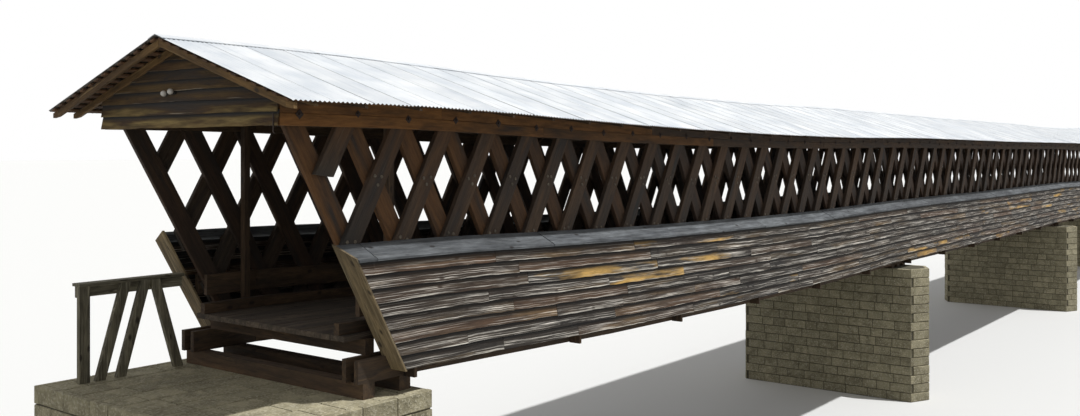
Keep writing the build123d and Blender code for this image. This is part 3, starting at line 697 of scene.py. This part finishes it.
# A flat iron hook at one corner of each gable, over its foot: its line as (y, z), and its width.
HOOK = ((-0.925, 3.62), (-0.925, 3.515), (-0.940, 3.500))
HOOK_WIDE = 0.009
HOOK_THICK = 0.004
HOOK_OUT = 0.031
hooks = Pile(37)
for end in (1, -1):
    face = end * (GABLE_FACE - HOOK_OUT)
    for (y0, z0), (y1, z1) in zip(HOOK, HOOK[1:]):
        outline = ((face, y1 - HOOK_WIDE, z1), (face, y1, z1), (face, y0, z0), (face, y0 - HOOK_WIDE, z0))
        hooks.board(outline, (end * HOOK_THICK, 0, 0), worn=0.0008)
hooks.piece("gable_hooks", old_iron, "gable_walls", instead=False)


# Top chord: two boards one over the other, in lengths, counted in stations, that break joint.
CHORD_HALF = 0.5 * CHORD_DEEP
CHORD_SEAM = 0.0007
CHORD_FIRST_RUNS = (5.5, 3.0)
CHORD_RUN = 6.0
CHORD_END = LAST + GABLE_OUT / PANEL
chord = Pile(41)
for side in (-1, 1):
    for level, run in enumerate(CHORD_FIRST_RUNS):
        station = -GABLE_OUT / PANEL
        while station < CHORD_END - SLIVER:
            end = min(station + run, CHORD_END)
            foot = ROW_0 - CHORD_HALF + level * CHORD_HALF + CHORD_SEAM
            head = foot + CHORD_HALF - 2 * CHORD_SEAM
            low, high = (side * LATTICE_OUT, foot), (side * LATTICE_OUT, head)
            steps = max(1, round(2 * (end - station)))
            # Near the portals the chord boards are painted warmer, for the reflected light there.
            warm = max(0.0, 1.0 - min(station, LAST - end) / WARM_STATIONS)
            thick = side * (LAYER - chord.dice.uniform(0, 0.002))
            outline = lengthwise(x_at(station), x_at(end), low, high, BUTT)
            chord.board(outline, (0, thick, 0), steps, worn=0.0025, ragged=0.0006, new_wood_and_reflected_light=warm)
            station, run = end, CHORD_RUN
chord.piece("top_chord_boards", chord_timber, "upper_chords_outer")


# Lattice: two layers of planks that cross, each plank cut off where it meets the slanting end plank.
# Planks run so much of a row past the top chord and past the last crossings.
REACH = 0.179
FOOT_ROW = 4
# The first short plank stops at this row, with its end a little out of square.
SHORT_CUT = 0.9
SHORT_SLANT = 0.05
PLANK_SLIP = 0.008
PLANK_NARROWER = 0.012
PLANK_THINNER = (0.0005, 0.003)


def lattice(layer_in, lean, tops, material, name, node, seed):
    """one layer of planks in both trusses, whose heads are at those stations; lean is the way they slant"""
    planks = Pile(seed)
    for side in (-1, 1):
        for top in tops:
            from_end = top if lean < 0 else LAST - top
            near_cut = from_end if from_end > 1 else SHORT_CUT
            near_row = min(FOOT_ROW + REACH, near_cut)
            far_cut = from_end + 2 * PLANK_HALF if from_end > 1 else SHORT_CUT + SHORT_SLANT
            far_row = min(FOOT_ROW + REACH, far_cut)
            low_row, high_row = (near_row, far_row) if lean < 0 else (far_row, near_row)
            slip = planks.dice.uniform(-PLANK_SLIP, PLANK_SLIP)
            half = PLANK_HALF - planks.dice.uniform(0.0, PLANK_NARROWER)

            def spot(row, edge):
                """a corner of the plank, on one of its edges at that row"""
                return (x_at(top + slip + edge * half + lean * row / 2), side * layer_in, ROW_0 - row * ROW)

            outline = (spot(-REACH, -1), spot(low_row, -1), spot(high_row, 1), spot(-REACH, 1))
            thick = side * (LAYER - planks.dice.uniform(*PLANK_THINNER))
            # Near the portals the near-side planks are painted warmer, for the reflected light there.
            near = max(0.0, 1.0 - min(top, LAST - top) / WARM_STATIONS) if side < 0 else 0.0
            head, foot = (near, 0.8 * near) if lean > 0 else (max(near, 0.5), 0.0)
            planks.board(outline, (0, thick, 0), 6, worn=0.003, wander=0.0008, new_wood_and_reflected_light=head, new_wood_and_light_at_end=foot)
    planks.piece(name, material, node)


lattice(LATTICE_MID, -1, range(1, LAST + 1), truss_outer, "outer_lattice_planks", "lattice_outer", 51)
lattice(LATTICE_IN, 1, range(LAST), truss_inner, "inner_lattice_planks", "lattice_inner", 52)

# Three oak pegs where two planks cross, on the two rows that show.
PEG = 0.0125
PEG_SPREAD = 0.036
PEG_SUNK = 0.004
PEG_LONG = 0.007
PEG_TURN = 0.5
pegs = Pile(61)
for side in (-1, 1):
    for row in (1, 2):
        for n in range(LAST + 1):
            station = n + 0.5 * (row % 2)
            if not 1 <= station <= LAST - 1:
                continue
            for around in range(3):
                angle = 2 * pi * around / 3 + pegs.dice.uniform(-PEG_TURN, PEG_TURN) + PEG_TURN
                x = x_at(station) + PEG_SPREAD * cos(angle)
                z = ROW_0 - row * ROW + PEG_SPREAD * sin(angle)
                pegs.peg((x, side * (LATTICE_OUT - PEG_SUNK), z), (0, side * PEG_LONG, 0), PEG, 8)
pegs.piece("truss_pegs", peg_timber, "lattice_outer", instead=False)

# One bolt through the top chord at each crossing, on a square plate set cornerwise.
PLATE = 0.030
PLATE_SUNK = 0.003
PLATE_LONG = 0.006
NUT = 0.009
NUT_OUT = 0.002
NUT_LONG = 0.009
BOLT_ALONG = 0.02
# How far bolts and plates stray along the chord and up it, in size, and in their turn.
BOLT_ASTRAY = 0.01
BOLT_UNLEVEL = 0.012
PLATE_SIZES = (0.75, 1.1)
PLATE_TURN = 0.2
bolts = Pile(65)
for side in (-1, 1):
    for n in range(LAST + 1):
        x = x_at(n) + BOLT_ALONG + bolts.dice.uniform(-BOLT_ASTRAY, BOLT_ASTRAY)
        z = ROW_0 + bolts.dice.uniform(-BOLT_UNLEVEL, BOLT_UNLEVEL)
        wide = PLATE * bolts.dice.uniform(*PLATE_SIZES)
        turned = pi / 4 + bolts.dice.uniform(-PLATE_TURN, PLATE_TURN)
        bolts.peg((x, side * (TRUSS_OUT - PLATE_SUNK), z), (0, side * PLATE_LONG, 0), wide, 4, turned)
        bolts.peg((x, side * (TRUSS_OUT + NUT_OUT), z), (0, side * NUT_LONG, 0), NUT, 6)
bolts.piece("chord_bolts", old_iron, "upper_chords_outer", instead=False)


# Siding: lapped courses, each board's foot standing out over the one below.
SIDING_LOW = 2.000
# The inner and outer faces of the boarding, from the middle line.
SIDING_IN = TRUSS_OUT + 0.1
SIDING_OUT = SIDING_IN + 0.025
CAP_IN = LATTICE_OUT
CAP_RUN = 0.18
CAP_DROP = 0.09
CAP_TOP = 2.822
CAP_THICK = 0.017
# The end plank covers END_WIDE along the bridge, and the boards run END_SHIFT past its inner edge.
END_WIDE = 2 * PLANK_HALF * PANEL
END_SHIFT = 0.030
# Its outer edge passes this station at this depth below the middle of the top chord.
END_STATION = 0.4
END_DEPTH = 0.803


def under_cap(y):
    """the height of the cap's underside at that distance from the middle line"""
    return CAP_TOP - (y - CAP_IN) * CAP_DROP / CAP_RUN - CAP_THICK


def end_line(z):
    """where the end plank's outer edge is, at that height, from the middle of the bridge"""
    return -x_at(END_STATION + (ROW_0 - z - END_DEPTH) / (2 * ROW))


def box_end(z):
    """where the boarded lower half ends, at that height, from the middle of the bridge"""
    return end_line(z) - END_WIDE + END_SHIFT


SIDING_HIGH = under_cap(SIDING_OUT)
COURSES = 8
COURSE = (SIDING_HIGH - SIDING_LOW) / COURSES
COURSE_LAP = 0.014
SIDING_THICK = 0.009
SIDING_HEAD_OUT = 0.007
SIDING_FOOT_OUT = 0.004
SIDING_FIRST_RUN = (0.6, 1.8)
SIDING_RUNS = (0.92, 1.22, 1.52, 1.83, 1.83)
# How far a board sits low or high, and back, and the gap at each of its ends.
SIDING_ASTRAY = (-0.005, 0.004)
SIDING_BACK = (0.0005, 0.005)
SIDING_GAP = (0.0005, 0.002)
# The share of boards that are newer wood, and how much of it the others show.
NEW_BOARDS = 0.12
SIDING_FRESH = 0.15
SIDING_STEP = 0.08
SHORTEST = 0.3
siding = Pile(71)
for side in (-1, 1):
    for course in range(COURSES):
        z = SIDING_LOW + course * COURSE
        top = min(z + COURSE + COURSE_LAP, SIDING_HIGH)
        edge_low, edge_high = box_end(z), box_end(top)
        x, first = -edge_low, True
        run = siding.dice.uniform(*SIDING_FIRST_RUN)
        while x < edge_low - SLIVER:
            end = x + run
            last = end > edge_low - SHORTEST
            if last:
                end = edge_low
            drop = siding.dice.uniform(*SIDING_ASTRAY) if course else 0.0
            foot = side * (SIDING_OUT + SIDING_FOOT_OUT - siding.dice.uniform(*SIDING_BACK))
            head = side * (SIDING_IN + SIDING_HEAD_OUT)
            gap = siding.dice.uniform(*SIDING_GAP)
            outline = (
                (x + gap, foot, z + drop),
                (end - gap, foot, z + drop),
                (edge_high if last else end - gap, head, top),
                (-edge_high if first else x + gap, head, top),
            )
            steps = max(3, round((end - x) / SIDING_STEP))
            new_wood_and_reflected_light = 1.0 if siding.dice.random() < NEW_BOARDS else siding.dice.uniform(0, SIDING_FRESH)
            thick = (0, -side * SIDING_THICK, 0)
            siding.board(outline, thick, steps, worn=0.0015, wander=0.003, ragged=0.0025, new_wood_and_reflected_light=new_wood_and_reflected_light)
            x, first, run = end, False, siding.dice.choice(SIDING_RUNS)
siding.piece("lapped_siding", old_siding, "siding")


# Cap boards over the siding: laid sloping, butted, and slipped a little out of line with age.
CAP_SHY = 0.001
CAP_X = box_end(CAP_TOP) - CAP_SHY
CAP_X_LOW = box_end(CAP_TOP - CAP_DROP) - CAP_SHY
CAP_FIRST_RUN = 0.2
CAP_BOARD_RUN = 1.83
CAP_BOARD_THICK = 0.0165
CAP_STEP = 0.2
CAP_GAP = 0.003
CAP_NARROWER = 0.004
CAP_RAISED = 0.002
CAP_SLIP = 0.006
CAP_SUNK = 0.004
caps = Pile(81)
for side in (-1, 1):
    x, run = -CAP_X, CAP_FIRST_RUN
    while x < CAP_X - SLIVER:
        end = min(x + run, CAP_X)
        if CAP_X - end < SHORTEST:
            end = CAP_X
        slip = caps.dice.uniform(0, CAP_SLIP)
        rise = caps.dice.uniform(-CAP_SUNK, 0.0)
        inner_y, inner_z = CAP_IN + slip, CAP_TOP - 0.5 * slip + rise
        outer_y = CAP_IN + CAP_RUN - CAP_NARROWER + slip / 2
        outer_z = CAP_TOP - CAP_DROP + CAP_RAISED - slip / 4 + rise
        outline = (
            (-CAP_X_LOW if x == -CAP_X else x + CAP_GAP, side * outer_y, outer_z),
            (CAP_X_LOW if end == CAP_X else end - CAP_GAP, side * outer_y, outer_z),
            (end - CAP_GAP, side * inner_y, inner_z),
            (x + CAP_GAP, side * inner_y, inner_z),
        )
        steps = max(2, round((end - x) / CAP_STEP))
        caps.board(outline, (0, 0, -CAP_BOARD_THICK), steps, wander=0.002, ragged=0.0015)
        x, run = end, CAP_BOARD_RUN
caps.piece("sloping_cap_boards", cap_timber, "cap_boards")


# End boards: pale, slanting with the end plank, each across one end of the boarded lower half.
END_THICK = 0.018
END_OUT = SIDING_OUT + 0.004
END_FOOT = SIDING_LOW - 0.012
END_HEAD = CAP_TOP + 0.004
END_HEAD_LOW = END_HEAD - (END_OUT - CAP_IN) * CAP_DROP / CAP_RUN
END_CORNERS = ((CAP_IN, END_FOOT), (CAP_IN, END_HEAD), (END_OUT, END_HEAD_LOW), (END_OUT, END_FOOT))
ends = Pile(91)
for side in (-1, 1):
    for end in (-1, 1):
        outline = [(end * box_end(z), side * y, z) for y, z in END_CORNERS]
        ends.board(outline, (end * END_THICK, 0, 0), 5, ragged=0.001)
ends.piece("slanting_end_boards", pale_trim, "end_boards")


# Floor: long planks side by side, in lengths that break joint.
DECK_LOW = 2.180
DECK_HALF = 0.80
DECK_THICK = 0.0375
DECK_X = 15.035
FLOOR_PLANKS = 11
FLOOR_WIDE = 2 * DECK_HALF / FLOOR_PLANKS
FLOOR_SEAM = 0.0015
FLOOR_FIRST_RUNS = (0.9, 1.8, 1.35)
FLOOR_RUN = 2.7
FLOOR_STEP = 0.25
deck = Pile(101)
for row in range(FLOOR_PLANKS):
    y = -DECK_HALF + row * FLOOR_WIDE
    low, high = (y + FLOOR_SEAM, DECK_LOW), (y + FLOOR_WIDE - FLOOR_SEAM, DECK_LOW)
    x, run = -DECK_X, FLOOR_FIRST_RUNS[row % 3]
    while x < DECK_X - SLIVER:
        end = min(x + run, DECK_X)
        thick = DECK_THICK - deck.dice.uniform(0, 0.002)
        steps = max(2, round((end - x) / FLOOR_STEP))
        deck.board(lengthwise(x, end, low, high, BUTT), (0, 0, thick), steps)
        x, run = end, FLOOR_RUN
deck.piece("floor_planks", floor_timber, "deck")


# Stonework: squared blocks in courses round a mortar core, each with a dressed edge and a split face.
COURSE_STONE = 0.122
JOINT = 0.009
PIER_TOP = 1.800
BLOCK_TOP = 1.830
STONE_BACK = 0.05
STONE_RUN = (0.16, 0.34)
# Each face lies back from the plan by a little of its own.
STONE_IN = (0.002, 0.007)
STONE_SHORTEST = 0.12
# Every second course starts this far along.
STONE_STAGGER = 0.05
STONE_LAST = 0.02
# The mortar core lies back from the stones, and lower than their tops.
CORE_IN = 0.013
CORE_DOWN = 0.002
PAVED_DOWN = 0.006
PAVING_ROWS = 9
PAVING_RUN = (0.18, 0.36)
PAVING_DEEP = 0.05


def set_in(plan, depth):
    """the plan's corners, moved in by that depth from both sides"""
    moved = []
    for i, corner in enumerate(plan):
        corner = Vector(corner)
        before = (corner - Vector(plan[i - 1])).normalized()
        after = (Vector(plan[(i + 1) % len(plan)]) - corner).normalized()
        inward = Vector((-before.y - after.y, before.x + after.x))
        moved.append(corner + inward * depth / (1 + before.dot(after)))
    return moved


def wall_course(stones, a, b, low, high, at):
    """one course of split stones along one side of a plan, from a to b"""
    along = (b - a).normalized()
    inward = Vector((-along.y, along.x))
    length = (b - a).length
    back = inward * STONE_BACK
    while at < length - STONE_LAST:
        end = at + stones.dice.uniform(*STONE_RUN)
        if end > length - STONE_SHORTEST:
            end = length
        face = a + inward * stones.dice.uniform(*STONE_IN)
        left, right = face + along * (at + JOINT / 2), face + along * (end - JOINT / 2)
        outline = ((*left, low), (*right, low), (*right, high), (*left, high))
        stones.board(outline, (*back, 0), 3, worn=0.005, wander=0.002, ragged=0.0015)
        at = end


def paving(stones, plan, top):
    """rows of flat stones over the top of a plan"""
    corners = set_in(plan, STONE_BACK)
    (x_low, y_low), (x_high, y_high) = corners[0], corners[2]
    bed = top - PAVING_DEEP
    deep = (y_high - y_low) / PAVING_ROWS
    for row in range(PAVING_ROWS):
        y = y_low + row * deep
        x = x_low
        while x < x_high - SLIVER:
            end = x + stones.dice.uniform(*PAVING_RUN)
            if end > x_high - STONE_SHORTEST:
                end = x_high
            outline = (
                (x + JOINT, y + JOINT / 2, bed),
                (end, y + JOINT / 2, bed),
                (end, y + deep - JOINT / 2, bed),
                (x + JOINT, y + deep - JOINT / 2, bed),
            )
            stones.board(outline, (0, 0, PAVING_DEEP - stones.dice.uniform(0, 0.002)), 2, worn=0.006)
            x = end


def stonework(name, node, plans, height, seed, paved=False):
    """courses of blocks round each plan, which is a list of corners that goes round to the left"""
    stones = Pile(seed)
    core = Pile(seed + 1)
    courses = round(height / COURSE_STONE)
    tall = height / courses
    for plan in plans:
        inset = set_in(plan, CORE_IN)
        start = len(core.points)
        for z in (0.0, height - (PAVED_DOWN if paved else CORE_DOWN)):
            for x, y in inset:
                core.corner((x, y, z), (x, y, z), PLAIN)
        core.ring_faces(start, 2, len(inset))
        for course in range(courses):
            low = course * tall + JOINT / 2
            high = height if course == courses - 1 else (course + 1) * tall - JOINT / 2
            for i, a in enumerate(plan):
                b = plan[(i + 1) % len(plan)]
                at = STONE_STAGGER if (course + i) % 2 else 0.0
                wall_course(stones, Vector(a), Vector(b), low, high, at)
        if paved:
            paving(stones, plan, height)
    stones.piece(name, pier_stone, node, sagging=False)
    core.piece(name + "_mortar", mortar, node, instead=False, sagging=False)


PIER_X = 5.027
PIER_HALF_THICK = 0.3125
PIER_HALF_WIDE = 1.23
PIER_NOSE = 0.15
BLOCK_X = (14.533, 16.086)
BLOCK_HALF_WIDE = 1.1


def pier_plan(x):
    """a pier's plan, pointed at both of its narrow ends"""
    plan = []
    for thick, side in ((-PIER_HALF_THICK, -1), (PIER_HALF_THICK, 1)):
        plan.append((x + thick, side * PIER_HALF_WIDE))
        plan.append((x, side * (PIER_HALF_WIDE + PIER_NOSE)))
        plan.append((x - thick, side * PIER_HALF_WIDE))
    return plan


def block_plan(x0, x1):
    """a portal block's plan"""
    return [(x0, -BLOCK_HALF_WIDE), (x1, -BLOCK_HALF_WIDE), (x1, BLOCK_HALF_WIDE), (x0, BLOCK_HALF_WIDE)]


pier_plans = [pier_plan(-PIER_X), pier_plan(PIER_X)]
block_plans = [block_plan(-BLOCK_X[1], -BLOCK_X[0]), block_plan(*BLOCK_X)]
stonework("pier_stones", "piers", pier_plans, PIER_TOP, 111)
stonework("portal_block_stones", "abutments", block_plans, BLOCK_TOP, 121, paved=True)


# The rest of the timber keeps the frame's own shapes.
FINISHES = {
    "railing_boards": RAIL_TIMBER["X"],
    "railing_caps": RAIL_TIMBER["X"],
    "railing_posts": RAIL_TIMBER["Z"],
    "eave_plates": eave_timber,
    "upper_chords_inner": FRAME_TIMBER["X"],
    "lower_chords_inner": FRAME_TIMBER["X"],
    "lower_chords_outer": FRAME_TIMBER["X"],
    "wheel_guards": FRAME_TIMBER["X"],
    "rafters": FRAME_TIMBER["Y"],
    "tie_beams": FRAME_TIMBER["Y"],
    "knee_braces": FRAME_TIMBER["Y"],
    "floor_beams": FRAME_TIMBER["Y"],
    "bed_timbers": FRAME_TIMBER["Y"],
    "siding_studs": FRAME_TIMBER["Z"],
    "portal_posts": FRAME_TIMBER["Z"],
    "lamp_sockets": enamel,
}
for name, finish in FINISHES.items():
    nodes[name].data.materials.clear()
    nodes[name].data.materials.append(finish)

globes.piece("lamp_globes", opal, "lamp_bulbs", smooth=True)


# Studio: a pale floor that fades into a white backdrop, one high sun, and soft light from all round.
def looked_at(tree):
    """one where the camera sees a thing, straight, in metal or through glass, and nought elsewhere"""
    path = add(tree, "LightPath").outputs
    mirrored = add(tree, "Math", {0: path["Is Camera Ray"], 1: path["Is Glossy Ray"]}, operation="MAXIMUM")
    links = {0: mirrored.outputs[0], 1: path["Is Transmission Ray"]}
    return add(tree, "Math", links, operation="MAXIMUM").outputs[0]


FLOOR_REACH = 400.0
ground_paint, ground_tree, ground_shader = blank(
    "pale floor paint", base_color=linear("#F7F7F5"), roughness=0.95
)
# The floor looks pale to the eye and in metal and glass, and sends little light back on to the bridge.
floor_light = add(ground_tree, "BsdfDiffuse", {"Color": linear("#8A8A86")})
floor_links = {0: looked_at(ground_tree), 1: floor_light.outputs[0], 2: ground_shader.outputs[0]}
floor_mix = add(ground_tree, "MixShader", floor_links)
ground_tree.links.new(floor_mix.outputs[0], ground_tree.nodes["Material Output"].inputs["Surface"])
floor_mesh = bpy.data.meshes.new("studio_floor")
corners = [(x * FLOOR_REACH, y * FLOOR_REACH, 0) for x, y in ((-1, -1), (1, -1), (1, 1), (-1, 1))]
floor_mesh.from_pydata(corners, [], [(0, 1, 2, 3)])
floor_mesh.materials.append(ground_paint)
floor = bpy.data.objects.new("studio_floor", floor_mesh)
scene.collection.objects.link(floor)

# The sun stands high over the near side.
SUN_FROM = Vector((0.12, -0.36, 0.925))
sun_lamp = bpy.data.lights.new("high_sun", "SUN")
sun_lamp.energy = 2.4
sun_lamp.angle = radians(1.5)
sun = bpy.data.objects.new("high_sun", sun_lamp)
sun.rotation_euler = SUN_FROM.to_track_quat("Z", "Y").to_euler()
scene.collection.objects.link(sun)

world = bpy.data.worlds.new("studio_air")
world.use_nodes = True
scene.world = world
air = world.node_tree
air.nodes.clear()
soft = add(air, "Background", {"Color": linear("#FFFFFF"), "Strength": 0.33})
white = add(air, "Background", {"Color": linear("#FFFFFF"), "Strength": 1.0})
joined = add(air, "MixShader", {0: looked_at(air), 1: soft.outputs[0], 2: white.outputs[0]})
add(air, "OutputWorld", {"Surface": joined.outputs[0]})

scene.view_settings.view_transform = "Standard"

# Camera: level, at the photo's place and height, with the view shifted down.
EYE = Vector((-19.494, -5.830, 3.3965))
AHEAD = Vector((0.791, 0.612, 0.0))
lens = bpy.data.cameras.new("photo_view")
lens.sensor_width = 36.0
lens.lens = 34.5
lens.shift_y = -0.052
lens.clip_end = 1000.0
camera = bpy.data.objects.new("photo_view", lens)
camera.location = EYE
camera.rotation_euler = AHEAD.to_track_quat("-Z", "Y").to_euler()
scene.collection.objects.link(camera)
scene.camera = camera

bpy.context.view_layer.update()
